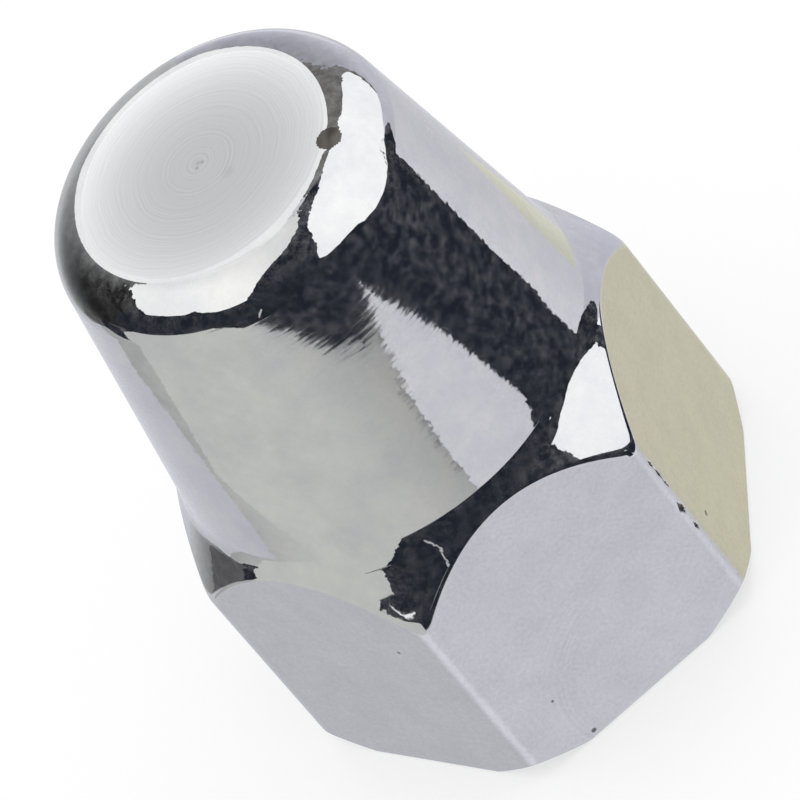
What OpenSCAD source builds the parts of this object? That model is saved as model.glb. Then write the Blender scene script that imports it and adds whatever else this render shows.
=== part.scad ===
// Tall closed cap nut, one turned and plated solid: a hex foot, a conical shoulder,
// a tapered barrel with a rounded edge and a flat end face, and a blind tapped hole.
// Millimetres. +Z runs up the thread axis, and the origin is the centre of the base face.

/* [Hex] */
// Width across two opposite flats
across_flats = 19; // [17:0.5:24]
// How far the six upright corners are rounded in from sharp ones
corner_break = 0.15; // [0.05:0.05:0.6]
// Height at which the shoulder would reach a sharp corner
corner_height = 10.4; // [8:0.1:14]

/* [Base] */
// How far the chamfer on the corners cuts in from a sharp corner at the base face
base_chamfer = 1.05; // [0.7:0.05:1.4]
// Slope of that chamfer from the axis, in degrees
base_chamfer_angle = 43; // [35:1:60]

/* [Barrel] */
// Height of the whole nut, base face to end face
nut_height = 28; // [26:0.5:36]
// How far the foot of the barrel stands in from the flats
barrel_inset = 0.3; // [0.3:0.05:1]
// Taper of the barrel on each side, in degrees
barrel_taper = 8.3; // [4:0.1:10]
// Radius of the rounded edge round the end face
end_edge_radius = 2; // [0.5:0.1:3]

/* [Shoulder] */
// Slope of the shoulder from the axis, in degrees
shoulder_angle = 28.3; // [24:0.1:40]
// Radius of the hollow where the barrel runs into the shoulder
shoulder_fillet = 3; // [1:0.1:3]

/* [Tapped hole] */
// Outside diameter of the thread
thread_d = 12; // [8:0.5:13]
// Pitch of the thread
thread_pitch = 1.5; // [1:0.25:2]
// How far the countersink opens past the thread on each side
mouth_lip = 0.3; // [0.1:0.05:1]
// Thickness left between the drill point and the end face
end_wall = 3; // [2:0.1:6]
// Included angle of the drill point, in degrees
drill_point_angle = 118; // [90:1:140]

/* [Hidden] */
$fn = 180;
sides = 6;
// Stock left outside the corners, which the hex cuts away
stock = 1;
// How far a cutter runs out of the face it starts from
overcut = 1;
// How far a round bites past the line it blends into, so that they meet in a clean edge
bite = 0.001;

// Hex: the flats' distance from the axis, and the radius of a sharp and of a rounded corner
flat_r = across_flats / 2;
corner_r = flat_r / cos(180 / sides);
rounded_r = corner_r - corner_break;
stock_r = corner_r + stock;

// Base: radius of the chamfer's lower edge, and its height on the stock
base_r = corner_r - base_chamfer;
chamfer_top_z = (stock_r - base_r) / tan(base_chamfer_angle);

// Shoulder: its lower end on the stock, and the sharp corner where the barrel would meet it
shoulder_low_z = corner_height - stock / tan(shoulder_angle);
foot = [flat_r - barrel_inset, corner_height + (corner_r - flat_r + barrel_inset) / tan(shoulder_angle)];

// Hollow at the foot of the barrel: where it touches both cones, and its centre outside them
up_barrel = [-sin(barrel_taper), cos(barrel_taper)];
off_barrel = [cos(barrel_taper), sin(barrel_taper)];
down_shoulder = [sin(shoulder_angle), -cos(shoulder_angle)];
hollow_tangent = shoulder_fillet * tan((shoulder_angle - barrel_taper) / 2);
hollow_on_barrel = foot + hollow_tangent * up_barrel;
hollow_on_shoulder = foot + hollow_tangent * down_shoulder;
hollow_centre = hollow_on_barrel + (shoulder_fillet - bite) * off_barrel;

// End: the radius where barrel and end face would meet, and the rounded edge there
tip_r = foot.x - (nut_height - foot.y) * tan(barrel_taper);
edge_tangent = end_edge_radius * tan((90 - barrel_taper) / 2);
edge_centre = [tip_r - edge_tangent + bite, nut_height - end_edge_radius];
edge_on_face = [edge_centre.x, nut_height];
edge_on_barrel = [tip_r, nut_height] - edge_tangent * up_barrel;

// Hole: tapping drill, countersunk mouth and the cone left by the drill point
drill_r = (thread_d - thread_pitch) / 2;
mouth_r = thread_d / 2 + mouth_lip;
mouth_depth = mouth_r - drill_r;
point_height = drill_r / tan(drill_point_angle / 2);
drill_depth = nut_height - end_wall - point_height;

// Hex bar with one flat facing -Y, its corners rounded off to a common circle
module hex_bar() {
  intersection() {
    cylinder(r = corner_r, h = nut_height, $fn = sides);
    cylinder(r = rounded_r, h = nut_height);
  }
}

// Half section of the turned blank, with the rounded end edge and the hollow at the foot of the barrel
module turned_outline() {
  difference() {
    union() {
      polygon([
        [0, 0],
        [base_r, 0],
        [stock_r, chamfer_top_z],
        [stock_r, shoulder_low_z],
        hollow_on_shoulder,
        hollow_centre,
        hollow_on_barrel,
        edge_on_barrel,
        edge_on_face,
        [0, nut_height]
      ]);
      translate(edge_centre)
        circle(r = end_edge_radius);
    }
    translate(hollow_centre)
      circle(r = shoulder_fillet);
  }
}

// Blind hole at its tapping size, open at the base
module tapped_hole() {
  translate([0, 0, -overcut])
    cylinder(r = drill_r, h = drill_depth + overcut);
  translate([0, 0, drill_depth])
    cylinder(r1 = drill_r, r2 = 0, h = point_height);
  translate([0, 0, -overcut])
    cylinder(r1 = mouth_r + overcut, r2 = drill_r, h = mouth_depth + overcut);
}

// The nut: what the hex bar and the turned blank have in common, less the hole
module cap_nut() {
  color("gainsboro")
    difference() {
      intersection() {
        hex_bar();
        rotate_extrude()
          turned_outline();
      }
      tapped_hole();
    }
}

cap_nut();
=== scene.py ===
"""Looks of a tall closed chrome cap nut: its plated form, thread and wear, a plain studio and the camera.

The nut stands on its base face at z = 0 with one flat towards -Y. Directions round it, called psi, turn
from -Y towards +X, for the nut's own columns and for the studio's panels that its chrome reflects.
"""

import math
from collections import namedtuple

import bpy
from mathutils import Matrix, Vector


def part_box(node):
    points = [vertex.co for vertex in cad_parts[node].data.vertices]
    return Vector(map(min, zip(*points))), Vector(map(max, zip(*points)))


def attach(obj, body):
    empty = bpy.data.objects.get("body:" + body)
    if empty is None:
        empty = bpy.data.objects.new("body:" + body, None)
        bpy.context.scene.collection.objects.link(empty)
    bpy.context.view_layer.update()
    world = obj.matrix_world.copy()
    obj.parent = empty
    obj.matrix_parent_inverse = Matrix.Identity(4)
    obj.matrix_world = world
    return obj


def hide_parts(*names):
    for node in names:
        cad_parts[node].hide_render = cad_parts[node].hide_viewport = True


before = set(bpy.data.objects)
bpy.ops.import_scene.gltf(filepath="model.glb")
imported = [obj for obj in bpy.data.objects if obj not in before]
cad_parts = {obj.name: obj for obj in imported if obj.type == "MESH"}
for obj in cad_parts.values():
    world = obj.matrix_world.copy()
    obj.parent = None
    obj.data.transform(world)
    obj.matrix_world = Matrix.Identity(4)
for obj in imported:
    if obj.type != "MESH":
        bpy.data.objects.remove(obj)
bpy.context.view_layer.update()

MM = 0.001

# Overall sizes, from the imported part
node_low, node_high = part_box("cap_nut")
NUT_HEIGHT = node_high.z - node_low.z
FLAT_R = (node_high.y - node_low.y) / 2
LAND_R = (node_high.x - node_low.x) / 2

# The part's other sizes, as its source has them
SIDES = 6
SECTOR = 2 * math.pi / SIDES
CORNER_HEIGHT = 10.4 * MM
BASE_CHAMFER = 1.05 * MM
BASE_CHAMFER_ANGLE = math.radians(43)
BARREL_INSET = 0.3 * MM
BARREL_TAPER = math.radians(8.3)
END_EDGE_R = 2.0 * MM
SHOULDER_ANGLE = math.radians(28.3)
HOLLOW_R = 3.0 * MM
THREAD_R = 6.0 * MM
PITCH = 1.5 * MM
MOUTH_LIP = 0.3 * MM
END_WALL = 3.0 * MM
DRILL_POINT_ANGLE = math.radians(118)

# Worn edges that the solid leaves sharp: the arched edge at the middle of a flat and at a corner, the edge
# of the base, the blend of the flats into the corner lands, and what wear adds to the round of the end edge
SHOULDER_EDGE_R = 0.4 * MM
CORNER_EDGE_R = 1.7 * MM
BASE_EDGE_R = 0.15 * MM
LAND_BLEND = 0.17 * MM
END_WEAR = 0.2 * MM
END_WEAR_PSI = math.radians(60)

# Thread: depth that is fully cut, length of the run-out, and where one turn's crest, flank and root end
THREAD_DEPTH = 17.5 * MM
RUN_OUT = 1.5 * MM
CREST_END = 0.25
RISE_END = 0.54
ROOT_END = 0.71

# Steps of the mesh: columns round the axis, then rows from the end face down
FLAT_COLUMNS = 30
LAND_COLUMNS = 12
LAND_ZONE = math.radians(3.0)
NODULE_COLUMNS = 26
NODULE_ZONE = math.radians(5.5)
NICK_COLUMNS = 15
NICK_ZONE = (math.radians(29.6), math.radians(32.0))
LEAST_COLUMN = math.radians(0.06)
FACE_ROWS = 14
RIM_ROWS = 10
RIM_ZONE = 0.6 * MM
END_EDGE_ROWS = 44
BARREL_ROWS = 16
HOLLOW_ROWS = 14
SHOULDER_ROWS = 10
ARRIS_ROWS = 8
WALL_ROWS = 84
BASE_EDGE_ROWS = 4
BASE_RING_R = 7.4 * MM
BORE_COLUMNS = 96
ROWS_A_TURN = 12
MERGE = 0.00005 * MM
SHARP_ANGLE = math.radians(35)

# Finishes, in the order of the nut's materials
BRIGHT, SATIN, TURNED, BORE, WORN_AND_PAINTED_DARK = range(5)

# One level of a column: its place, its slope, how far its normal follows the hex wall, and its finish
Row = namedtuple("Row", "r z slope wall finish")

# Wear with a form of its own: a nodule on the end edge, just outside the rim of the face, and nicks along
# one corner of the hex. They reach so far down from the face and in from the corner. Where the surface
# moves by more than the plating's thickness it takes a dark finish: bare metal in the nicks, and a painted
# dark reflection on the nodule.
PLATING = 0.006 * MM
NODULE_PSI = math.radians(48.7)
NODULE_OUT = 0.1 * MM
NODULE_R = 0.66 * MM
NODULE_HEIGHT = 0.06 * MM
NODULE_REACH = 0.3 * MM
NICK_REACH = 0.5 * MM
Nick = namedtuple("Nick", "psi z half_width half_length depth")
NICKS = [
    Nick(math.radians(degrees), z * MM, half_width * MM, half_length * MM, depth * MM)
    for degrees, z, half_width, half_length, depth in (
        (31.3, 9.20, 0.10, 0.46, 0.06),
        (31.4, 8.50, 0.11, 0.50, 0.06),
        (31.4, 7.85, 0.09, 0.42, 0.06),
        (30.4, 6.40, 0.22, 0.46, 0.10),
        (30.6, 5.10, 0.13, 0.34, 0.08),
        (31.0, 2.75, 0.07, 0.10, 0.05),
        (31.0, 1.55, 0.07, 0.12, 0.05),
    )
]


def spread(start, end, steps):
    """Evenly spaced values from start to end, both included."""
    return [start + (end - start) * i / steps for i in range(steps + 1)]


def smooth_step(t):
    t = min(max(t, 0.0), 1.0)
    return t * t * (3 - 2 * t)


def along(psi):
    """Level unit vector that points out at the angle psi."""
    return Vector((math.sin(psi), -math.cos(psi), 0.0))


# The turned section, worked out as the part's source does
CORNER_R = FLAT_R / math.cos(math.pi / SIDES)
BASE_R = CORNER_R - BASE_CHAMFER
FOOT_R = FLAT_R - BARREL_INSET
FOOT_Z = CORNER_HEIGHT + (CORNER_R - FOOT_R) / math.tan(SHOULDER_ANGLE)
HOLLOW_TANGENT = HOLLOW_R * math.tan((SHOULDER_ANGLE - BARREL_TAPER) / 2)
HOLLOW_TOP_R = FOOT_R - HOLLOW_TANGENT * math.sin(BARREL_TAPER)
HOLLOW_TOP_Z = FOOT_Z + HOLLOW_TANGENT * math.cos(BARREL_TAPER)
HOLLOW_CENTRE_R = HOLLOW_TOP_R + HOLLOW_R * math.cos(BARREL_TAPER)
HOLLOW_CENTRE_Z = HOLLOW_TOP_Z + HOLLOW_R * math.sin(BARREL_TAPER)
TIP_R = FOOT_R - (NUT_HEIGHT - FOOT_Z) * math.tan(BARREL_TAPER)
EDGE_SPAN = math.tan((math.pi / 2 - BARREL_TAPER) / 2)
EDGE_CENTRE_R = TIP_R - END_EDGE_R * EDGE_SPAN
DRILL_R = THREAD_R - PITCH / 2
MOUTH_R = THREAD_R + MOUTH_LIP
POINT_HEIGHT = DRILL_R / math.tan(DRILL_POINT_ANGLE / 2)
DRILL_DEPTH = NUT_HEIGHT - END_WALL - POINT_HEIGHT


def hex_radius(psi):
    """Distance from the axis to the hex wall: flats and corner lands, blended where they meet."""
    from_flat = (psi + SECTOR / 2) % SECTOR - SECTOR / 2
    on_flat = FLAT_R / math.cos(from_flat)
    blend = max(LAND_BLEND - abs(on_flat - LAND_R), 0.0) / LAND_BLEND
    return min(on_flat, LAND_R) - blend * blend * LAND_BLEND / 4


def wall_normal(psi):
    """Level unit vector square to the hex wall."""
    step = 0.0005
    back = along(psi - step) * hex_radius(psi - step)
    ahead = along(psi + step) * hex_radius(psi + step)
    run = ahead - back
    return Vector((run.y, -run.x, 0.0)).normalized()


def end_edge_radius(psi):
    """Radius of the edge round the end face, worn rounder on one side."""
    return END_EDGE_R + END_WEAR * max(math.cos(psi - END_WEAR_PSI), 0.0)


def end_rows(rim_r):
    """The flat end face, with closer rings at its rim for the nodule."""
    inner = spread(0.0, rim_r - RIM_ZONE, FACE_ROWS)
    rim = spread(rim_r - RIM_ZONE, rim_r, RIM_ROWS)
    return [Row(r, NUT_HEIGHT, math.pi / 2, 0.0, TURNED) for r in inner + rim[1:-1]]


def arc_rows(centre_r, centre_z, radius, start, end, steps, finish, walls=(0.0, 0.0)):
    """A round whose slope goes from start to end; walls: how far its normals follow the hex at each end."""
    rows = []
    for i, slope in enumerate(spread(start, end, steps)):
        wall = walls[0] + (walls[1] - walls[0]) * i / steps
        r = centre_r + radius * math.cos(slope)
        z = centre_z + radius * math.sin(slope)
        rows.append(Row(r, z, slope, wall, finish))
    return rows


def straight_rows(a, b, steps, slope, wall, finish):
    """The rows between two (r, z) points, both left out."""
    rows = []
    for t in spread(0.0, 1.0, steps)[1:-1]:
        rows.append(Row(a[0] + (b[0] - a[0]) * t, a[1] + (b[1] - a[1]) * t, slope, wall, finish))
    return rows


def hollow_rows():
    """The hollow at the foot of the barrel, a round seen from inside it."""
    rows = []
    for slope in spread(BARREL_TAPER, SHOULDER_ANGLE, HOLLOW_ROWS):
        r = HOLLOW_CENTRE_R - HOLLOW_R * math.cos(slope)
        z = HOLLOW_CENTRE_Z - HOLLOW_R * math.sin(slope)
        rows.append(Row(r, z, slope, 0.0, BRIGHT))
    return rows


def shoulder_edge_rows(wall_r):
    """The arched edge where the shoulder runs into the hex, rounder towards the corners."""
    to_corner = (wall_r - FLAT_R) / (LAND_R - FLAT_R)
    edge_r = SHOULDER_EDGE_R + (CORNER_EDGE_R - SHOULDER_EDGE_R) * to_corner ** 2
    centre_r = wall_r - edge_r
    reach = centre_r + edge_r / math.cos(SHOULDER_ANGLE) - FOOT_R
    centre_z = FOOT_Z - reach / math.tan(SHOULDER_ANGLE)
    return arc_rows(centre_r, centre_z, edge_r, SHOULDER_ANGLE, 0.0, ARRIS_ROWS, BRIGHT, (0.0, 1.0))


def base_edge_rows(wall_r):
    """The lower edge of the hex: wall, corner chamfer where there is one, and base face."""
    round_r = BASE_EDGE_R
    lean = math.tan(BASE_CHAMFER_ANGLE)
    inset_r = BASE_R - round_r / math.cos(BASE_CHAMFER_ANGLE)
    upper_r = wall_r - round_r
    upper_z = max((upper_r - inset_r) / lean, round_r)
    lower_r = min(inset_r + round_r * lean, upper_r)
    slope = -BASE_CHAMFER_ANGLE
    upper = arc_rows(upper_r, upper_z, round_r, 0.0, slope, BASE_EDGE_ROWS, SATIN, (1.0, 0.0))
    lower = arc_rows(lower_r, round_r, round_r, slope, -math.pi / 2, BASE_EDGE_ROWS, SATIN)
    return upper + lower


def outer_rows(psi):
    """Every row of one column, from the middle of the end face to the ring on the base face."""
    wall_r = hex_radius(psi)
    edge_r = end_edge_radius(psi)
    rim_r = TIP_R - edge_r * EDGE_SPAN
    edge_z = NUT_HEIGHT - edge_r
    edge = arc_rows(rim_r, edge_z, edge_r, math.pi / 2, BARREL_TAPER, END_EDGE_ROWS, BRIGHT)
    hollow = hollow_rows()
    arris = shoulder_edge_rows(wall_r)
    base = base_edge_rows(wall_r)
    barrel = straight_rows(edge[-1], hollow[0], BARREL_ROWS, BARREL_TAPER, 0.0, BRIGHT)
    shoulder = straight_rows(hollow[-1], arris[0], SHOULDER_ROWS, SHOULDER_ANGLE, 0.0, BRIGHT)
    arris[-1] = arris[-1]._replace(finish=SATIN)
    wall = straight_rows(arris[-1], base[0], WALL_ROWS, 0.0, 1.0, SATIN)
    ring = [Row(BASE_RING_R, 0.0, -math.pi / 2, 0.0, SATIN)]
    return end_rows(rim_r) + edge + barrel + hollow + shoulder + arris + wall + base + ring


def columns():
    """Angles of the outer columns: close at the corner lands, the nodule and the nicks."""
    half = SECTOR / 2
    angles = []
    for side in range(SIDES):
        middle = side * SECTOR
        angles += [middle + a for a in spread(-half, -half + LAND_ZONE, LAND_COLUMNS)[:-1]]
        angles += [middle + a for a in spread(-half + LAND_ZONE, half - LAND_ZONE, FLAT_COLUMNS)]
        angles += [middle + a for a in spread(half - LAND_ZONE, half, LAND_COLUMNS)[1:-1]]
    angles += spread(NODULE_PSI - NODULE_ZONE, NODULE_PSI + NODULE_ZONE, NODULE_COLUMNS)
    angles += spread(*NICK_ZONE, NICK_COLUMNS)
    angles.sort()
    kept = [angles[0]]
    for angle in angles[1:]:
        if angle - kept[-1] > LEAST_COLUMN:
            kept.append(angle)
    return kept


def swelling(point):
    """How far wear lifts (or, below zero, cuts) the surface at a point of the sound form."""
    psi = math.atan2(point.x, -point.y)
    r = math.hypot(point.x, point.y)
    total = 0.0
    if point.z > NUT_HEIGHT - NODULE_REACH:
        nodule = along(NODULE_PSI) * (EDGE_CENTRE_R + NODULE_OUT)
        off = (Vector((point.x, point.y, 0.0)) - nodule).length / NODULE_R
        if off < 1:
            total += NODULE_HEIGHT * (1 - off * off) ** 2
    if r > LAND_R - NICK_REACH:
        for nick in NICKS:
            off = abs(psi - nick.psi) * r / nick.half_width + abs(point.z - nick.z) / nick.half_length
            if off < 1:
                total -= nick.depth * (1 - off)
    return total


class Skin:
    """Points, normals and faces of one mesh; points that fall together are one vertex."""

    def __init__(self):
        self.points = []
        self.normals = []
        self.faces = []
        self.finishes = []
        self.index = {}

    def vertex(self, point, normal=None):
        key = tuple(round(c / MERGE) for c in point)
        if key not in self.index:
            self.index[key] = len(self.points)
            self.points.append(point)
            self.normals.append(normal or Vector((0.0, 0.0, 0.0)))
        return self.index[key]

    def face(self, corners, finish):
        loop = [c for i, c in enumerate(corners) if c != corners[i - 1]]
        if len(loop) > 2 and len(set(loop)) == len(loop):
            self.faces.append(loop)
            self.finishes.append(finish)


def add_outside(skin):
    """The plated outside; gives back the vertices of its last ring, on the base face."""
    grid = []
    for psi in columns():
        out = along(psi)
        wall = wall_normal(psi)
        column = []
        for row in outer_rows(psi):
            level = (out * (1 - row.wall) + wall * row.wall).normalized()
            normal = level * math.cos(row.slope) + Vector((0.0, 0.0, math.sin(row.slope)))
            point = out * row.r + Vector((0.0, 0.0, row.z))
            lift = swelling(point)
            worn = abs(lift) > PLATING
            vertex = skin.vertex(point + normal * lift) if lift else skin.vertex(point, normal)
            column.append((vertex, row.finish, worn))
        grid.append(column)
    for left, right in zip(grid, grid[1:] + grid[:1]):
        for i in range(len(left) - 1):
            patch = (left[i], left[i + 1], right[i + 1], right[i])
            # Faces moved past the plating get the dark finish: bare steel in the nicks, painted dark
            # reflection on the nodule
            finish = WORN_AND_PAINTED_DARK if all(corner[2] for corner in patch) else left[i][1]
            skin.face([corner[0] for corner in patch], finish)
    return [column[-1][0] for column in grid]


def thread_radius(z, turn):
    """Wall of the tapped hole at a height and a share of a turn, cut back by the countersink."""
    share = (z / PITCH - turn) % 1.0
    if share < CREST_END:
        depth = 0.0
    elif share < RISE_END:
        depth = (share - CREST_END) / (RISE_END - CREST_END)
    elif share < ROOT_END:
        depth = 1.0
    else:
        depth = (1.0 - share) / (1.0 - ROOT_END)
    fade = 1.0 - smooth_step((z - THREAD_DEPTH) / RUN_OUT)
    return max(DRILL_R + depth * fade * (THREAD_R - DRILL_R), MOUTH_R - z)


def add_bore(skin):
    """The tapped hole with its drill point; gives back the vertices of its mouth, on the base face."""
    top = THREAD_DEPTH + RUN_OUT
    count = ROWS_A_TURN * (math.ceil(top / PITCH) + 2)
    apex = skin.vertex(Vector((0.0, 0.0, DRILL_DEPTH + POINT_HEIGHT)))
    grid = []
    for i in range(BORE_COLUMNS):
        turn = i / BORE_COLUMNS
        out = along(2 * math.pi * turn)
        column = []
        for k in range(count):
            z = min(max((k / ROWS_A_TURN - 1 + turn) * PITCH, 0.0), top)
            r = thread_radius(z, turn) if z > 0.0 else MOUTH_R
            column.append(skin.vertex(out * r + Vector((0.0, 0.0, z))))
        column.append(skin.vertex(out * DRILL_R + Vector((0.0, 0.0, DRILL_DEPTH))))
        column.append(apex)
        grid.append(column)
    last = len(grid[0]) - 1
    for i in range(BORE_COLUMNS):
        left = grid[i]
        right = grid[(i + 1) % BORE_COLUMNS]
        shift = ROWS_A_TURN if i == BORE_COLUMNS - 1 else 0
        for k in range(count - 1):
            a = right[min(k + shift, count - 1)]
            b = right[min(k + 1 + shift, count - 1)]
            skin.face((left[k], left[k + 1], b, a), BORE)
        for k in range(count - 1, last):
            skin.face((left[k], left[k + 1], right[k + 1], right[k]), BORE)
    return [column[0] for column in grid]


def add_base(skin, outer, inner):
    """The flat base face between two rings with different numbers of vertices."""

    def angle(vertex):
        point = skin.points[vertex]
        return math.atan2(point.x, -point.y) % (2 * math.pi)

    outer = sorted(outer, key=angle)
    inner = sorted(inner, key=angle)
    i = 0
    j = 0
    while i < len(outer) or j < len(inner):
        here = outer[i % len(outer)]
        there = inner[j % len(inner)]
        next_outer = angle(outer[(i + 1) % len(outer)]) + (2 * math.pi if i + 1 >= len(outer) else 0.0)
        next_inner = angle(inner[(j + 1) % len(inner)]) + (2 * math.pi if j + 1 >= len(inner) else 0.0)
        if j >= len(inner) or (i < len(outer) and next_outer <= next_inner):
            i += 1
            skin.face((here, there, outer[i % len(outer)]), SATIN)
        else:
            j += 1
            skin.face((here, there, inner[j % len(inner)]), SATIN)


def mark_sharp_edges(mesh):
    """Edges of the thread and the mouth stay crisp."""
    mesh.set_sharp_from_angle(angle=SHARP_ANGLE)


def set_normals(mesh, skin):
    """True normals of the form on the plated outside; the rest keeps its own."""
    corner_normals = []
    for polygon in mesh.polygons:
        for vertex in polygon.vertices:
            corner_normals.append(skin.normals[vertex])
    mesh.normals_split_custom_set(corner_normals)


def make_nut(materials):
    skin = Skin()
    outer = add_outside(skin)
    inner = add_bore(skin)
    add_base(skin, outer, inner)
    mesh = bpy.data.meshes.new("plated_nut")
    mesh.from_pydata(skin.points, [], skin.faces)
    for material in materials:
        mesh.materials.append(material)
    mesh.polygons.foreach_set("material_index", skin.finishes)
    mesh.polygons.foreach_set("use_smooth", [True] * len(skin.faces))
    mark_sharp_edges(mesh)
    set_normals(mesh, skin)
    mesh.update()
    nut = bpy.data.objects.new("plated_nut", mesh)
    bpy.context.scene.collection.objects.link(nut)
    return nut


# Where most of a noise's values lie, with little detail and with much
NOISE_LOW = 0.35
NOISE_HIGH = 0.65
BLOTCH_LOW = 0.32
BLOTCH_HIGH = 0.68


class Shader:
    """A material's node tree, with short calls to add and join nodes."""

    def __init__(self, name):
        self.material = bpy.data.materials.new(name)
        self.material.use_nodes = True
        self.tree = self.material.node_tree
        self.tree.nodes.clear()
        self.output = self.tree.nodes.new("ShaderNodeOutputMaterial")

    def add(self, kind, **settings):
        node = self.tree.nodes.new(kind)
        for name, value in settings.items():
            setattr(node, name, value)
        return node

    def join(self, source, target):
        self.tree.links.new(source, target)

    def value(self, operation, a, b):
        """Maths on two sockets or numbers."""
        node = self.add("ShaderNodeMath", operation=operation)
        for socket, item in zip(node.inputs, (a, b)):
            if isinstance(item, bpy.types.NodeSocket):
                self.join(item, socket)
            else:
                socket.default_value = item
        return node.outputs[0]

    def vector(self, operation, a, b=None, scale=None):
        """Vector maths on sockets or triples."""
        node = self.add("ShaderNodeVectorMath", operation=operation)
        for socket, item in zip(node.inputs, (a, b)):
            if isinstance(item, bpy.types.NodeSocket):
                self.join(item, socket)
            elif item is not None:
                socket.default_value = item
        if isinstance(scale, bpy.types.NodeSocket):
            self.join(scale, node.inputs["Scale"])
        elif scale is not None:
            node.inputs["Scale"].default_value = scale
        return node.outputs[0]

    def metal(self, colour, roughness):
        bsdf = self.add("ShaderNodeBsdfPrincipled")
        bsdf.inputs["Base Color"].default_value = colour
        bsdf.inputs["Metallic"].default_value = 1.0
        bsdf.inputs["Roughness"].default_value = roughness
        self.join(bsdf.outputs[0], self.output.inputs["Surface"])
        return bsdf

    def place(self):
        return self.add("ShaderNodeTexCoord").outputs["Object"]

    def noise(self, vector, scale, detail=2.0, dimensions="3D", roughness=0.5):
        node = self.add("ShaderNodeTexNoise", noise_dimensions=dimensions)
        node.inputs["Scale"].default_value = scale
        node.inputs["Detail"].default_value = detail
        node.inputs["Roughness"].default_value = roughness
        self.join(vector, node.inputs["W" if dimensions == "1D" else "Vector"])
        return node

    def ramp(self, value, start, low, end, high):
        """A number that goes from low to high as the value goes from start to end."""
        node = self.add("ShaderNodeMapRange")
        self.join(value, node.inputs["Value"])
        node.inputs["From Min"].default_value = start
        node.inputs["From Max"].default_value = end
        node.inputs["To Min"].default_value = low
        node.inputs["To Max"].default_value = high
        return node.outputs["Result"]

    def swing(self, noise, size):
        """A number either side of nothing, from a noise that wanders round a half."""
        return self.value("MULTIPLY", self.value("SUBTRACT", noise, 0.5), size)

    def patches(self, place, scale, low, high, detail=2.0, roughness=0.5):
        """A number that wanders from low to high."""
        noise = self.noise(place, scale, detail, roughness=roughness).outputs["Fac"]
        return self.ramp(noise, NOISE_LOW, low, NOISE_HIGH, high)

    def blotches(self, place, scale, dark, light):
        """A colour that wanders between two."""
        node = self.add("ShaderNodeValToRGB")
        node.color_ramp.elements[0].position = BLOTCH_LOW
        node.color_ramp.elements[0].color = dark
        node.color_ramp.elements[1].position = BLOTCH_HIGH
        node.color_ramp.elements[1].color = light
        noise = self.noise(place, scale, detail=6.0, roughness=0.65)
        self.join(noise.outputs["Fac"], node.inputs["Fac"])
        return node.outputs["Color"]

    def distance(self, place, centre):
        node = self.add("ShaderNodeVectorMath", operation="DISTANCE")
        self.join(place, node.inputs[0])
        node.inputs[1].default_value = centre
        return node.outputs["Value"]

    def spot(self, place, centre, radius, core=0.7):
        """One in the core of a small ball round a point, nothing outside it."""
        return self.ramp(self.distance(place, centre), core * radius, 1.0, radius, 0.0)

    def darkened(self, colour, masks, share):
        """A colour taken down by a share of itself under each mask."""
        for mask in masks:
            keep = self.value("SUBTRACT", 1.0, self.value("MULTIPLY", mask, share))
            colour = self.vector("SCALE", colour, scale=keep)
        return colour

    def tilted_normal(self, tilts):
        """The surface's normal, leaned over by the sum of some small vectors."""
        lean = self.add("ShaderNodeNewGeometry").outputs["Normal"]
        for tilt in tilts:
            lean = self.vector("ADD", lean, tilt)
        return self.vector("NORMALIZE", lean)

    def speckle(self, place, scale, lean):
        """A small random lean, the same in every direction."""
        colour = self.noise(place, scale, detail=3.0).outputs["Color"]
        centred = self.vector("SUBTRACT", colour, (0.5, 0.5, 0.5))
        return self.vector("SCALE", centred, scale=lean)


# Finishes. Scales are waves a metre, and round the axis waves a radian. A lean is how far a normal tips
# over, as a share of its length.
CHROME = (0.550, 0.556, 0.562, 1.0)
# Dark steel: bare metal in the nicks, and a painted dark reflection on the nodule
BARE_AND_PAINTED_DARK_STEEL = (0.11, 0.10, 0.09, 1.0)
BARE_STEEL = (0.34, 0.34, 0.35, 1.0)
BARE_ROUGHNESS = 0.35

# Bright plate: marks from turning, sideways ripple, a patchy hazy coat, and clouds in the colour
MIRROR_ROUGHNESS = 0.02
MARKS_ROUND = 6.0
MARKS_UP = 6000.0
MARKS_LEAN = 0.004
RIPPLE_SCALE = 4500.0
RIPPLE_LEAN = 0.05
COAT_SCALE = 2000.0
COAT_NONE = 0.42
COAT_FULL = 0.64
COAT_ROUGHNESS = 0.45
COAT_IOR = 2.0
CLOUD_SCALE = 420.0
CLOUD_BLUE = (0.500, 0.511, 0.530, 1.0)
CLOUD_CREAM = (0.592, 0.593, 0.583, 1.0)


def turning_marks(s, place):
    """A small lean up or down, drawn out round the axis."""
    parts = s.add("ShaderNodeSeparateXYZ")
    s.join(place, parts.inputs[0])
    angle = s.value("ARCTAN2", parts.outputs["X"], parts.outputs["Y"])
    stretched = s.add("ShaderNodeCombineXYZ")
    s.join(s.value("MULTIPLY", angle, MARKS_ROUND), stretched.inputs["X"])
    s.join(s.value("MULTIPLY", parts.outputs["Z"], MARKS_UP), stretched.inputs["Y"])
    marks = s.noise(stretched.outputs[0], 1.0, detail=3.0).outputs["Fac"]
    upright = s.add("ShaderNodeCombineXYZ")
    s.join(s.swing(marks, MARKS_LEAN), upright.inputs["Z"])
    return upright.outputs[0]


def sideways_ripple(s, place):
    """A small lean round the axis, one way or the other."""
    ripple = s.noise(place, RIPPLE_SCALE, detail=3.0).outputs["Fac"]
    sideways = s.vector("NORMALIZE", s.vector("CROSS_PRODUCT", (0.0, 0.0, 1.0), place))
    return s.vector("SCALE", sideways, scale=s.swing(ripple, RIPPLE_LEAN))


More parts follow.
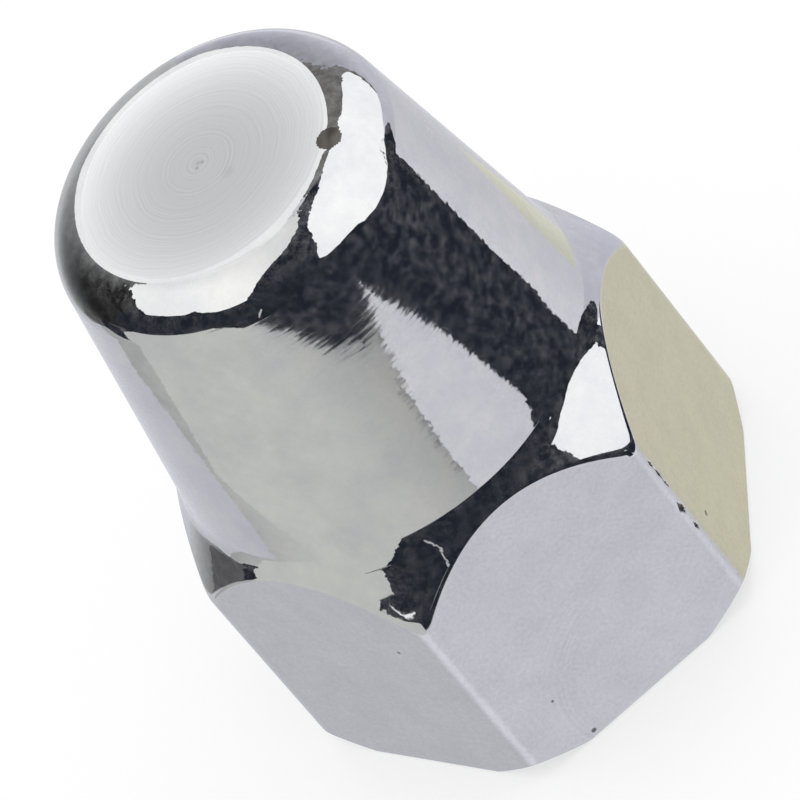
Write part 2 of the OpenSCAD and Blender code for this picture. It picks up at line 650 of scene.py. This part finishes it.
def bright_chrome():
    """Mirror plate over turned steel."""
    s = Shader("bright_chrome")
    bsdf = s.metal(CHROME, MIRROR_ROUGHNESS)
    place = s.place()
    s.join(s.tilted_normal([turning_marks(s, place), sideways_ripple(s, place)]), bsdf.inputs["Normal"])
    coat = s.noise(place, COAT_SCALE, detail=8.0, roughness=0.72).outputs["Fac"]
    s.join(s.ramp(coat, COAT_NONE, 0.0, COAT_FULL, 1.0), bsdf.inputs["Coat Weight"])
    bsdf.inputs["Coat Roughness"].default_value = COAT_ROUGHNESS
    bsdf.inputs["Coat IOR"].default_value = COAT_IOR
    s.join(s.blotches(place, CLOUD_SCALE, CLOUD_BLUE, CLOUD_CREAM), bsdf.inputs["Base Color"])
    return s.material


# Satin flats: fine grain, wide clouds, small dark pits as (centre, radius), and faint arcs of a tool that
# rise and fall with the distance from their centre and show on the left of the front flat only
SATIN_ROUGHNESS = 0.26
GRAIN_SCALE = 6000.0
GRAIN_DARK = (0.520, 0.526, 0.532, 1.0)
GRAIN_LIGHT = (0.580, 0.586, 0.592, 1.0)
SPECKLE_SCALE = 5000.0
SPECKLE_LEAN = 0.05
FLAT_CLOUD_SCALE = 600.0
FLAT_CLOUD_DARK = 0.97
FLAT_CLOUD_LIGHT = 1.04
PIT_DARKNESS = 0.75
PITS = (
    ((6.15 * MM, -8.35 * MM, 4.29 * MM), 0.14 * MM),
    ((-6.60 * MM, -7.57 * MM, 8.82 * MM), 0.09 * MM),
    ((-2.75 * MM, -FLAT_R, 0.41 * MM), 0.13 * MM),
    ((-3.27 * MM, -FLAT_R, 3.15 * MM), 0.07 * MM),
)
ARC_CENTRE = (1.2 * MM, -FLAT_R, 1.6 * MM)
ARC_SCALE = 6000.0
ARC_DEPTH = 0.14
ARC_RISE = (2.0 * MM, 3.2 * MM)
ARC_FALL = (4.5 * MM, 6.5 * MM)
ARC_SIDE = (-1.0 * MM, 2.0 * MM)
ARC_PATCH_SCALE = 700.0
ARC_PATCH_LEAST = 0.2
ARC_PATCH_MOST = 1.2


def tool_arcs(s, place):
    """Faint round strokes of a tool: a small number either side of nothing."""
    reach = s.distance(place, ARC_CENTRE)
    rise = s.ramp(reach, ARC_RISE[0], 0.0, ARC_RISE[1], ARC_DEPTH)
    fall = s.ramp(reach, ARC_FALL[0], ARC_DEPTH, ARC_FALL[1], 0.0)
    parts = s.add("ShaderNodeSeparateXYZ")
    s.join(place, parts.inputs[0])
    side = s.ramp(parts.outputs["X"], ARC_SIDE[0], 1.0, ARC_SIDE[1], 0.0)
    sided = s.value("MULTIPLY", s.value("MINIMUM", rise, fall), side)
    patches = s.patches(place, ARC_PATCH_SCALE, ARC_PATCH_LEAST, ARC_PATCH_MOST)
    patchy = s.value("MULTIPLY", sided, patches)
    return s.swing(s.noise(reach, ARC_SCALE, dimensions="1D").outputs["Fac"], patchy)


def satin_chrome():
    """Plate over the pressed flats, softly mottled and clouded."""
    s = Shader("satin_chrome")
    bsdf = s.metal(CHROME, SATIN_ROUGHNESS)
    place = s.place()
    grain = s.blotches(place, GRAIN_SCALE, GRAIN_DARK, GRAIN_LIGHT)
    clouds = s.patches(
        place, FLAT_CLOUD_SCALE, FLAT_CLOUD_DARK, FLAT_CLOUD_LIGHT, detail=5.0, roughness=0.6
    )
    clouded = s.vector("SCALE", grain, scale=s.value("ADD", clouds, tool_arcs(s, place)))
    pits = [s.spot(place, centre, radius) for centre, radius in PITS]
    s.join(s.darkened(clouded, pits, PIT_DARKNESS), bsdf.inputs["Base Color"])
    s.join(s.tilted_normal([s.speckle(place, SPECKLE_SCALE, SPECKLE_LEAN)]), bsdf.inputs["Normal"])
    return s.material


# Turned end face: painted shade in the middle and a painted highlight towards the rim, rings and stained
# rings that waver a little, a smudge, and a curl of spots
TURNED_ROUGHNESS = 0.20
# Where the painted shade centres, how far and how steeply it gives way, and the painted shade and highlight
# tones
PAINTED_SHADE_CENTRE = (-0.12 * MM, -0.69 * MM, NUT_HEIGHT)
PAINTED_SHADE_REACH = 6.2 * MM
PAINTED_SHADE_POWER = 3.0
PAINTED_SHADE_TONE = (0.390, 0.394, 0.398, 1.0)
PAINTED_HIGHLIGHT_TONE = (0.700, 0.702, 0.706, 1.0)
TURNING_CENTRE = (-0.16 * MM, 0.21 * MM, NUT_HEIGHT)
WAVER_SCALE = 700.0
WAVER = 0.25 * MM
RING_SCALE = 9000.0
RING_LEAN = 0.12
STAIN_SCALE = 9500.0
STAIN_INNER_R = 0.15 * MM
STAIN_INNER = 0.60
STAIN_OUTER_R = 0.8 * MM
STAIN_OUTER = 0.20
STAIN_PATCH_SCALE = 900.0
STAIN_PATCH_LEAST = 0.4
STAIN_PATCH_MOST = 1.5
SMUDGE_CENTRE = (0.47 * MM, -1.30 * MM, NUT_HEIGHT)
SMUDGE_R = 0.36 * MM
SMUDGE_CORE = 0.2
SMUDGE_DARKNESS = 0.08
CURL_R = 0.12 * MM
CURL_CORE = 0.4
CURL_DARKNESS = 0.22
CURL = (
    (-0.16 * MM, 0.21 * MM, NUT_HEIGHT),
    (-0.02 * MM, 0.10 * MM, NUT_HEIGHT),
    (-0.33 * MM, 0.02 * MM, NUT_HEIGHT),
)


def ring_noise(s, radius, scale):
    """A number that changes with the distance from the middle alone."""
    return s.noise(radius, scale, detail=4.0, dimensions="1D", roughness=0.7).outputs["Fac"]


def painted_face_light(s, place):
    """Colour of the face without its rings: painted shade in the middle and a painted highlight towards the
    rim.
    """
    shade = s.add("ShaderNodeValToRGB")
    shade.color_ramp.elements[0].color = PAINTED_SHADE_TONE
    shade.color_ramp.elements[1].color = PAINTED_HIGHLIGHT_TONE
    outward = s.value("DIVIDE", s.distance(place, PAINTED_SHADE_CENTRE), PAINTED_SHADE_REACH)
    s.join(s.value("POWER", outward, PAINTED_SHADE_POWER), shade.inputs["Fac"])
    return shade.outputs["Color"]


def turned_chrome():
    """The faced end, with the fine rings that the lathe tool left."""
    s = Shader("turned_chrome")
    bsdf = s.metal(CHROME, TURNED_ROUGHNESS)
    place = s.place()
    outward = s.distance(place, TURNING_CENTRE)
    waver = s.value("MULTIPLY", s.noise(place, WAVER_SCALE).outputs["Fac"], WAVER)
    radius = s.value("ADD", outward, waver)
    depth = s.ramp(outward, STAIN_INNER_R, STAIN_INNER, STAIN_OUTER_R, STAIN_OUTER)
    patches = s.patches(place, STAIN_PATCH_SCALE, STAIN_PATCH_LEAST, STAIN_PATCH_MOST, detail=3.0)
    patchy = s.value("MULTIPLY", depth, patches)
    tone = s.value("ADD", s.swing(ring_noise(s, radius, STAIN_SCALE), patchy), 1.0)
    # The face's colour carries painted shade in the middle and a painted highlight towards the rim
    ringed = s.vector("SCALE", painted_face_light(s, place), scale=tone)
    smudge = s.spot(place, SMUDGE_CENTRE, SMUDGE_R, SMUDGE_CORE)
    smudged = s.darkened(ringed, [smudge], SMUDGE_DARKNESS)
    curl = [s.spot(place, centre, CURL_R, CURL_CORE) for centre in CURL]
    s.join(s.darkened(smudged, curl, CURL_DARKNESS), bsdf.inputs["Base Color"])
    lean = s.swing(ring_noise(s, radius, RING_SCALE), RING_LEAN)
    arm = s.vector("SUBTRACT", place, TURNING_CENTRE)
    ridge = s.vector("SCALE", s.vector("NORMALIZE", arm), scale=lean)
    s.join(s.tilted_normal([ridge]), bsdf.inputs["Normal"])
    return s.material


def bare_and_painted_dark_spot():
    """Bare steel in the nicks and a painted dark reflection on the nodule: dull, dark metal."""
    s = Shader("bare_and_painted_dark_spot")
    s.metal(BARE_AND_PAINTED_DARK_STEEL, BARE_ROUGHNESS)
    return s.material


def bore_steel():
    """The tapped hole, taken as bare."""
    s = Shader("bore_steel")
    s.metal(BARE_STEEL, BARE_ROUGHNESS)
    return s.material


# Camera: found by fitting the part's outline to the photo. The reference point, whose pixel in the photo is
# given, is on the axis.
PICTURE = 800
SENSOR_MM = 36.0
REFERENCE_Z = 13.8 * MM
REFERENCE_PIXEL = (377.25, 372.79)
PIXELS_A_METRE = 25456.2
CAMERA_DISTANCE = 0.3525
CAMERA_ELEVATION = math.radians(43.107)
CAMERA_PSI = math.radians(-2.074)
CAMERA_ROLL = math.radians(-39.61)
CAMERA_CLIP = 0.01


def add_camera():
    """Looks at the reference point from the photo's side, moved so that the point falls on its pixel."""
    back = along(CAMERA_PSI) * math.cos(CAMERA_ELEVATION)
    back.z = math.sin(CAMERA_ELEVATION)
    level = along(CAMERA_PSI + math.pi / 2)
    upright = back.cross(level)
    right = level * math.cos(CAMERA_ROLL) + upright * math.sin(CAMERA_ROLL)
    up = upright * math.cos(CAMERA_ROLL) - level * math.sin(CAMERA_ROLL)
    off_right = (REFERENCE_PIXEL[0] - PICTURE / 2) / PIXELS_A_METRE
    off_up = (PICTURE / 2 - REFERENCE_PIXEL[1]) / PIXELS_A_METRE
    reference = Vector((0.0, 0.0, REFERENCE_Z))
    place = reference + back * CAMERA_DISTANCE - right * off_right - up * off_up
    data = bpy.data.cameras.new("photo_camera")
    data.sensor_width = SENSOR_MM
    data.lens = SENSOR_MM * PIXELS_A_METRE * CAMERA_DISTANCE / PICTURE
    data.clip_start = CAMERA_CLIP
    camera = bpy.data.objects.new("photo_camera", data)
    turn = Matrix((right, up, back)).transposed().to_4x4()
    camera.matrix_world = Matrix.Translation(place) @ turn
    bpy.context.scene.collection.objects.link(camera)
    bpy.context.scene.camera = camera


# Studio: what the chrome shows. Colours are linear light.
WHITE = (1.0, 1.0, 1.0)
WHITE_BOX = (1.54, 1.55, 1.57)
SOFT_BOX = (1.0, 1.0, 0.988)
BACK_LIGHT = (1.42, 1.43, 1.43)
NAVY = (0.025, 0.029, 0.043)
BROWN = (0.215, 0.207, 0.198)
LAVENDER = (0.97, 0.97, 1.04)
PALE_LAVENDER = (0.99, 0.985, 1.06)
GREY_GREEN = (0.845, 0.855, 0.825)
LEFT_GREEN = (0.993, 1.0, 0.975)
OLIVE = (0.90, 0.85, 0.635)
PALE_OLIVE = (0.86, 0.86, 0.72)
DULL_LAVENDER = (0.757, 0.766, 0.823)
STRIP_LAVENDER = (0.785, 0.785, 0.85)
LAND_LIGHT = (1.16, 1.16, 1.27)
HAZE = (0.80, 0.79, 0.90)
SIDE_LAVENDER = (1.0, 0.993, 1.07)
WEDGE_GREY = (0.15, 0.145, 0.155)
GLINT = (0.75, 0.75, 0.77)
BACK_GREY = (1.0, 1.0, 1.02)
BACK_LAVENDER = (1.0, 0.985, 1.13)

# Far panels lie on balls round the nut's barrel, the nearer ones in front; cards stand on rings close to it
SKY_CENTRE = Vector((0.0, 0.0, 20 * MM))
FARTHEST = 10.0
FAR = 9.0
MIDDLE = 8.0
WALL = 7.5
NEAR = 7.0
BEHIND_CARD_R = 63 * MM
CARD_R = 62 * MM
WEDGE_R = 61 * MM
GLINT_R = 60.5 * MM

PANEL_STEP = 3.0
SKY_ROWS = 16
DISPLAY_GAMMA = 2.2

# A panel is a list of (psi in degrees, low, high): low and high are degrees above the level for a far
# panel, and millimetres above the floor for a card. Each was laid out one by one, from where borders in the
# photo lead along the reflected ray.

# Lights beside, above and behind the nut
RIGHT_BOX = [
    (14, 8, 12), (16, 5, 24), (20, 2, 40), (25, 0, 52), (30, -4, 61), (36, -7, 65), (40, -11, 68),
    (44, -16, 70), (46, -19, 71), (50, -25, 72), (60, -25, 75), (70, -26.5, 76), (76, -27, 76),
    (79, -20, 76), (83, -11, 76), (90, -5, 76), (102, -4, 76), (112, -7, 75), (117, -7, 75),
    (124, 3, 74), (130, 12, 72), (134, 20, 69.5), (136, 30, 68), (138, 46, 67), (144, 49, 66),
    (150, 52, 62), (157, 56, 57),
]
TOP_BOX = [
    (-180, 60, 90), (-174, 48, 90), (-160, 48, 90), (-140, 48, 90), (-125, 45, 90), (-112, 38, 90),
    (-100, 31, 90), (-90, 33, 90), (-75, 34, 90), (-70, 39, 90), (-64, 34, 90), (-55, 29, 90),
    (-45, 27, 90), (-34, 28, 90), (-30, 42, 90), (-25, 55, 90), (-18, 64, 90), (-10, 68, 90),
    (0, 72, 90), (15, 75, 90), (30, 79, 90), (60, 81, 90), (100, 81, 90), (130, 79, 90),
    (150, 74, 90), (160, 69, 90), (170, 62, 90), (180, 60, 90),
]
BACK_STRIP = [(170, 36, 56), (173, 24, 66), (187, 24, 66), (190, 36, 56)]

# The dark room in front, and the dull strips at its sides
FRONT_DARK = [
    (-120, -19, 48), (-108, -19, 42), (-60, -20, 40), (-42, -26.3, 40), (-25, -25.99, 56),
    (-15, -25.97, 70), (0, -26.03, 76), (22, -26.15, 80), (30, -26.7, 81), (36, -27.2, 82),
    (40, -27.7, 82), (80, -28, 82), (120, 40, 82), (150, 60, 78), (165, 58, 70),
]
BROWN_STRIP = [
    (118, -9, -4), (124, -1, 6), (130, 8, 16), (134, 14, 26), (138, 20, 50), (144, 28, 54),
    (150, 32, 56), (156, 35, 60), (164, 37, 60), (170, 39, 56), (175, 40, 48),
]
RIGHT_LOW_DARK = [
    (22, -26.15, -25), (30, -26.7, -25), (36, -27.2, -25), (40, -27.7, -25), (44, -28.3, -24),
    (46, -28.7, -24), (48, -34, -23), (60, -36, -20), (75, -36, -22), (80, -36, -8), (84, -36, 3),
    (88, -34, 3), (88.5, -31.7, 2), (91, -31.4, -4), (95, -31, -6), (98, -28.5, -7), (100, -24, -9),
    (102, -19, -12), (103, -17, -13),
]
RIGHT_HAZE = [(100, -27, -4), (112, -28, -7), (124, -30, -5), (150, -32, -10)]
LEFT_WEDGE = [(-137, -23, -17), (-129, -19.5, -12.5), (-120, -16, -8), (-113, -13, -5), (-107, -10, -4)]

# The ground, since the floor is not seen in reflections, and (psi, lift) of the dark strokes beside it
LEFT_GROUND = [
    (-128, -34.4, -20), (-121, -33.9, -15), (-110, -33.4, -10), (-105, -33.4, -10), (-60, -34, -10),
    (-40, -32, -20), (0, -30, -25), (22, -30, -25),
]
WHISKERS = [(11, -26.2), (6, -26.4), (3, -26.5), (2, -26.7), (0.5, -26.85), (0, -27.05)]
WHISKER_LENGTH = 5.0
WHISKER_HALF = 0.04
QUAD_GROUND = [
    (-0.5, -35, -27.2), (0, -35, -26.9), (2, -35, -26.65), (3, -35, -26.5), (6, -35, -26.35),
    (11, -35, -26.2), (16, -35, -26.11), (22, -35, -26.10), (50, -36, -26.10),
]
RIGHT_GROUND = [(86, -38, -24), (118, -42, -24), (180, -46, -24)]
LEFT_FAR_GROUND = [(-180, -44, -27), (-150, -42, -27), (-124, -39, -22), (-95, -39, -22)]
OLIVE_GROUND = [(98, -62, -40), (110, -66, -38), (140, -66, -40), (152, -62, -41)]
OLIVE_STREAK = [
    (126, -42, -36.2), (132, -42, -36.4), (136, -42, -36.8), (143, -42, -37.4), (149, -42, -38.1),
    (156, -42, -39.5),
]
DULL_GROUND = [(-152, -62, -40), (-140, -66, -38), (-100, -66, -38), (-90, -62, -40)]
RIGHT_PALE = [(40, -56, -38), (80, -56, -38)]
LEFT_PALE = [(-80, -56, -38), (-40, -56, -38)]

# The wall behind
BACK_WALL = [(-186, -28, 50), (-160, -28, 50), (-136, -26, 50), (-126, -20, 50), (-112, -12, 46)]
BACK_RIGHT = [(122, -12, 20), (140, -12, 36), (165, -12, 42), (176, -12, 40)]

# Cards close to the nut, and the glints among them
LEFT_CARD = [
    (-106, -18, 2), (-104, -18, 16), (-98, -18, 22), (-53, -18, 24), (-50.7, -18, 20),
    (-48, -18, 17), (-45.2, -18, 12.8), (-42.5, -18, 4), (-39.1, -18, -9.8), (-38, -18, -14),
]
LEFT_RIM = [(-118, 9, 20), (-114.4, 6, 20), (-112, 2.5, 20), (-110, 0.5, 20), (-106, 0, 20)]
CORNER_WEDGE = [(-57, 17.3, 17.8), (-51.4, 17.6, 19.0), (-48.5, 17.4, 19.4), (-45, 14, 20)]
CORNER_GLINT = [
    (-53.3, 18.05, 18.15), (-51.5, 17.9, 18.1), (-50, 17.88, 18.12), (-48, 18.15, 18.4),
    (-46.2, 18.6, 18.72),
]
QUAD_CUT = [(30, -30, -15.4), (35.6, -30, -14.7), (40, -30, -14.3), (43, -30, -13.5)]
FRONT_GLINT = [(-30.6, 7, 11), (-28.8, 12, 18), (-27, 20, 24), (-26.4, 23, 24)]
FRONT_CARD = [
    (-66, 0, 25.5), (26, 0, 25.5), (31, 0, 24), (34, 0, 22), (38.5, 0, 18), (41, 0, 14),
    (43, -18, 11), (44, -18, 9), (50, -18, 4), (57, -18, -2.3), (64, -18, -2.3), (70.5, -18, 2),
    (76, -18, 9), (78, -18, 12.6), (84, -18, 15), (86, -18, 14),
]

# Shading of a far panel: the tone's change along the axes, its level at the nut, and its bounds
Grade = namedtuple("Grade", "fall level least most")
BACK_GRADE = Grade(Vector((0.776, 0.0, -0.451)), 0.80, 0.14, 0.65)
TOP_GRADE = Grade(Vector((-0.26, 0.0, 0.0)), 0.838, 0.80, 0.925)
BACK_RIGHT_GRADE = Grade(Vector((0.0, 0.0, -0.19)), 0.652, 0.50, 0.70)
LEFT_GRADE = Grade(Vector((-0.212, -0.122, 0.0)), 0.51, 0.55, 0.75)
SIDE_GRADE = Grade(Vector((0.0, -0.16, 0.0)), 0.79, 0.60, 0.80)


def glow(name, colour):
    """A panel's own plain light."""
    s = Shader(name)
    light = s.add("ShaderNodeEmission")
    light.inputs["Color"].default_value = (*colour, 1.0)
    s.join(light.outputs[0], s.output.inputs["Surface"])
    return s.material


def graded_glow(name, colour, grade, distance):
    """Light on a far panel whose tone, as the chrome shows it, changes evenly across it."""
    s = Shader(name)
    light = s.add("ShaderNodeEmission")
    light.inputs["Color"].default_value = (*colour, 1.0)
    fall = s.add("ShaderNodeVectorMath", operation="DOT_PRODUCT")
    s.join(s.place(), fall.inputs[0])
    fall.inputs[1].default_value = grade.fall / distance
    level = s.value("ADD", fall.outputs["Value"], grade.level)
    seen = s.value("MINIMUM", s.value("MAXIMUM", level, grade.least), grade.most)
    linear = s.value("POWER", seen, DISPLAY_GAMMA)
    s.join(s.value("DIVIDE", linear, CHROME[1]), light.inputs["Strength"])
    s.join(light.outputs[0], s.output.inputs["Surface"])
    return s.material


def stations(panel):
    """The panel's list with more directions in between."""
    dense = []
    for (a, low_a, high_a), (b, low_b, high_b) in zip(panel, panel[1:]):
        count = max(math.ceil((b - a) / PANEL_STEP), 1)
        for i in range(count):
            t = i / count
            low = low_a + (low_b - low_a) * t
            high = high_a + (high_b - high_a) * t
            dense.append((a + (b - a) * t, low, high))
    return dense + [panel[-1]]


def reflect_only(name, points, faces, material):
    """A studio panel that only reflections show."""
    mesh = bpy.data.meshes.new(name)
    mesh.from_pydata(points, [], faces)
    mesh.materials.append(material)
    panel = bpy.data.objects.new(name, mesh)
    panel.visible_camera = False
    panel.visible_diffuse = False
    panel.visible_shadow = False
    panel.visible_transmission = False
    bpy.context.scene.collection.objects.link(panel)


def strip(columns_of_points):
    """Points and faces of a sheet given column by column."""
    rows = len(columns_of_points[0])
    points = [p for column in columns_of_points for p in column]
    faces = []
    for c in range(len(columns_of_points) - 1):
        for r in range(rows - 1):
            corner = c * rows + r
            faces.append((corner, corner + 1, corner + rows + 1, corner + rows))
    return points, faces


def sky_panel(name, panel, distance, material):
    """A panel on a far ball round the nut, its bounds in degrees above the level."""
    sheet = []
    for psi, low, high in stations(panel):
        column = []
        for lift in spread(math.radians(low), math.radians(high), SKY_ROWS):
            level = along(math.radians(psi)) * math.cos(lift)
            column.append(SKY_CENTRE + (level + Vector((0.0, 0.0, math.sin(lift)))) * distance)
        sheet.append(column)
    reflect_only(name, *strip(sheet), material)


def card(name, panel, distance, material):
    """A low card that stands close round the nut, its bounds in millimetres above the floor."""
    sheet = []
    for psi, low, high in stations(panel):
        out = along(math.radians(psi)) * distance
        sheet.append([out + Vector((0.0, 0.0, z * MM)) for z in (low, high)])
    reflect_only(name, *strip(sheet), material)


def add_whiskers():
    """Short dark strokes that taper away from the border of the pale ground."""
    grey = glow("panel_whiskers", WEDGE_GREY)
    for i, (psi, lift) in enumerate(WHISKERS):
        whisker = [(psi - WHISKER_LENGTH, lift, lift), (psi, lift - WHISKER_HALF, lift + WHISKER_HALF)]
        sky_panel(f"whisker_{i}", whisker, NEAR, grey)


def add_panels():
    navy = glow("panel_navy", NAVY)
    sky_panel("right_box", RIGHT_BOX, NEAR, glow("panel_white", WHITE_BOX))
    sky_panel("top_box", TOP_BOX, NEAR, graded_glow("panel_soft", SOFT_BOX, TOP_GRADE, NEAR))
    sky_panel("back_strip", BACK_STRIP, NEAR, glow("panel_back_light", BACK_LIGHT))
    sky_panel("brown_strip", BROWN_STRIP, MIDDLE, glow("panel_brown", BROWN))
    back_right = graded_glow("panel_back_right", BACK_LAVENDER, BACK_RIGHT_GRADE, FAR)
    sky_panel("back_right", BACK_RIGHT, FAR, back_right)
    sky_panel("front_dark", FRONT_DARK, MIDDLE, navy)
    sky_panel("right_low_dark", RIGHT_LOW_DARK, NEAR, navy)
    sky_panel("left_ground", LEFT_GROUND, FAR, graded_glow("panel_left", LEFT_GREEN, LEFT_GRADE, FAR))
    add_whiskers()
    sky_panel("quad_ground", QUAD_GROUND, WALL, glow("panel_pale", PALE_LAVENDER))
    side = graded_glow("panel_side", SIDE_LAVENDER, SIDE_GRADE, FAR)
    sky_panel("right_ground", RIGHT_GROUND, FAR, side)
    sky_panel("olive_ground", OLIVE_GROUND, MIDDLE, glow("panel_olive", OLIVE))
    sky_panel("olive_streak", OLIVE_STREAK, WALL, glow("panel_streak", PALE_OLIVE))
    sky_panel("dull_ground", DULL_GROUND, MIDDLE, glow("panel_dull", DULL_LAVENDER))
    sky_panel("left_far_ground", LEFT_FAR_GROUND, FARTHEST, glow("panel_strip", STRIP_LAVENDER))
    land_light = glow("panel_land", LAND_LIGHT)
    sky_panel("right_pale", RIGHT_PALE, MIDDLE, land_light)
    sky_panel("left_pale", LEFT_PALE, MIDDLE, land_light)
    sky_panel("right_haze", RIGHT_HAZE, MIDDLE, glow("panel_haze", HAZE))
    sky_panel("back_wall", BACK_WALL, WALL, graded_glow("panel_back", BACK_GREY, BACK_GRADE, WALL))
    card("left_card", LEFT_CARD, CARD_R, glow("panel_green", GREY_GREEN))
    card("front_card", FRONT_CARD, BEHIND_CARD_R, navy)
    sky_panel("left_wedge", LEFT_WEDGE, NEAR, glow("panel_wedge", WEDGE_GREY))
    card("corner_wedge", CORNER_WEDGE, WEDGE_R, navy)
    card("quad_cut", QUAD_CUT, BEHIND_CARD_R, navy)
    card("left_rim", LEFT_RIM, WEDGE_R, navy)
    card("corner_glint", CORNER_GLINT, GLINT_R, glow("card_white", WHITE_BOX))
    card("front_glint", FRONT_GLINT, CARD_R, glow("card_glint", GLINT))


# Floor: just under the base face, grey with a glow for the camera only, so that it comes out white
FLOOR_HALF = 3.0
FLOOR_DROP = 0.02 * MM
FLOOR_COLOUR = (0.45, 0.45, 0.45, 1.0)
FLOOR_GLOW = 0.58


def add_floor():
    """White floor that keeps a soft shadow; the panels below it are what the chrome shows there."""
    s = Shader("white_floor")
    diffuse = s.add("ShaderNodeBsdfDiffuse")
    diffuse.inputs["Color"].default_value = FLOOR_COLOUR
    light = s.add("ShaderNodeEmission")
    to_camera = s.add("ShaderNodeLightPath").outputs["Is Camera Ray"]
    s.join(s.value("MULTIPLY", to_camera, FLOOR_GLOW), light.inputs["Strength"])
    both = s.add("ShaderNodeAddShader")
    s.join(diffuse.outputs[0], both.inputs[0])
    s.join(light.outputs[0], both.inputs[1])
    s.join(both.outputs[0], s.output.inputs["Surface"])
    h = FLOOR_HALF
    mesh = bpy.data.meshes.new("floor")
    mesh.from_pydata([(-h, -h, 0), (h, -h, 0), (h, h, 0), (-h, h, 0)], [], [(0, 1, 2, 3)])
    mesh.materials.append(s.material)
    floor = bpy.data.objects.new("floor", mesh)
    floor.location.z = -FLOOR_DROP
    floor.visible_glossy = False
    bpy.context.scene.collection.objects.link(floor)


def colour_socket(sockets, name):
    """The socket of a Mix node that carries a colour, since its other kinds have the same names."""
    return next(socket for socket in sockets if socket.name == name and socket.type == "RGBA")


def set_world():
    """White for the camera and for the floor's light, pale lavender in reflections."""
    world = bpy.data.worlds.new("studio")
    world.use_nodes = True
    tree = world.node_tree
    tree.nodes.clear()
    path = tree.nodes.new("ShaderNodeLightPath")
    mix = tree.nodes.new("ShaderNodeMix")
    mix.data_type = "RGBA"
    tree.links.new(path.outputs["Is Glossy Ray"], mix.inputs["Factor"])
    colour_socket(mix.inputs, "A").default_value = (*WHITE, 1.0)
    colour_socket(mix.inputs, "B").default_value = (*LAVENDER, 1.0)
    background = tree.nodes.new("ShaderNodeBackground")
    output = tree.nodes.new("ShaderNodeOutputWorld")
    tree.links.new(colour_socket(mix.outputs, "Result"), background.inputs["Color"])
    tree.links.new(background.outputs[0], output.inputs["Surface"])
    bpy.context.scene.world = world


nut = make_nut([bright_chrome(), satin_chrome(), turned_chrome(), bore_steel(), bare_and_painted_dark_spot()])
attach(nut, "root")
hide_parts("cap_nut")
add_panels()
add_floor()
set_world()
add_camera()
bpy.context.scene.view_settings.view_transform = "Standard"
